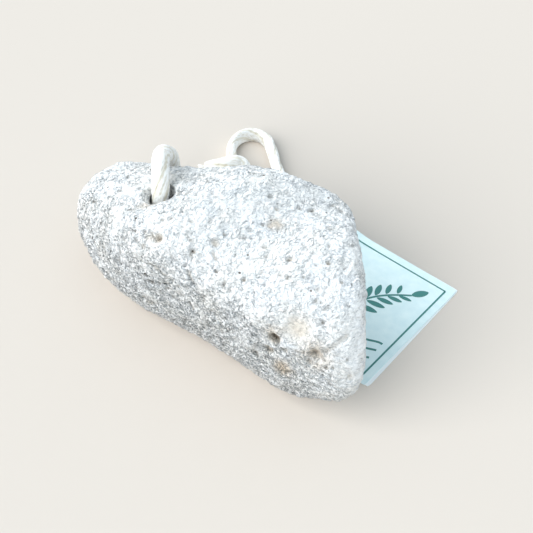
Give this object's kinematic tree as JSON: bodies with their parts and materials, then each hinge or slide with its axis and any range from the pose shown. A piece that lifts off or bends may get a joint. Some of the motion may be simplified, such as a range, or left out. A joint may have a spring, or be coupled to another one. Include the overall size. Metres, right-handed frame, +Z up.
{
  "type": "pumice stone",
  "caption": "Tumbled lump of pumice for smoothing skin, drilled through one end, threaded on a knotted cotton cord with a card tag.",
  "frame": {"origin": "under the middle of the stone, on the surface that it lies on", "axes": "+Z up, +X along the stone from its drilled head to its nose, +Y to its back, where the tag and the knot lie"},
  "size_m": [0.1138, 0.0984, 0.0444],
  "materials": {
    "pumice": null,
    "cotton": "undyed braided cotton",
    "card": null
  },
  "bodies": {
    "root": {"pumice_stone": "pumice", "cord": "cotton", "cord_knot": "cotton", "swing_tag": "card"}
  },
  "joints": []
}
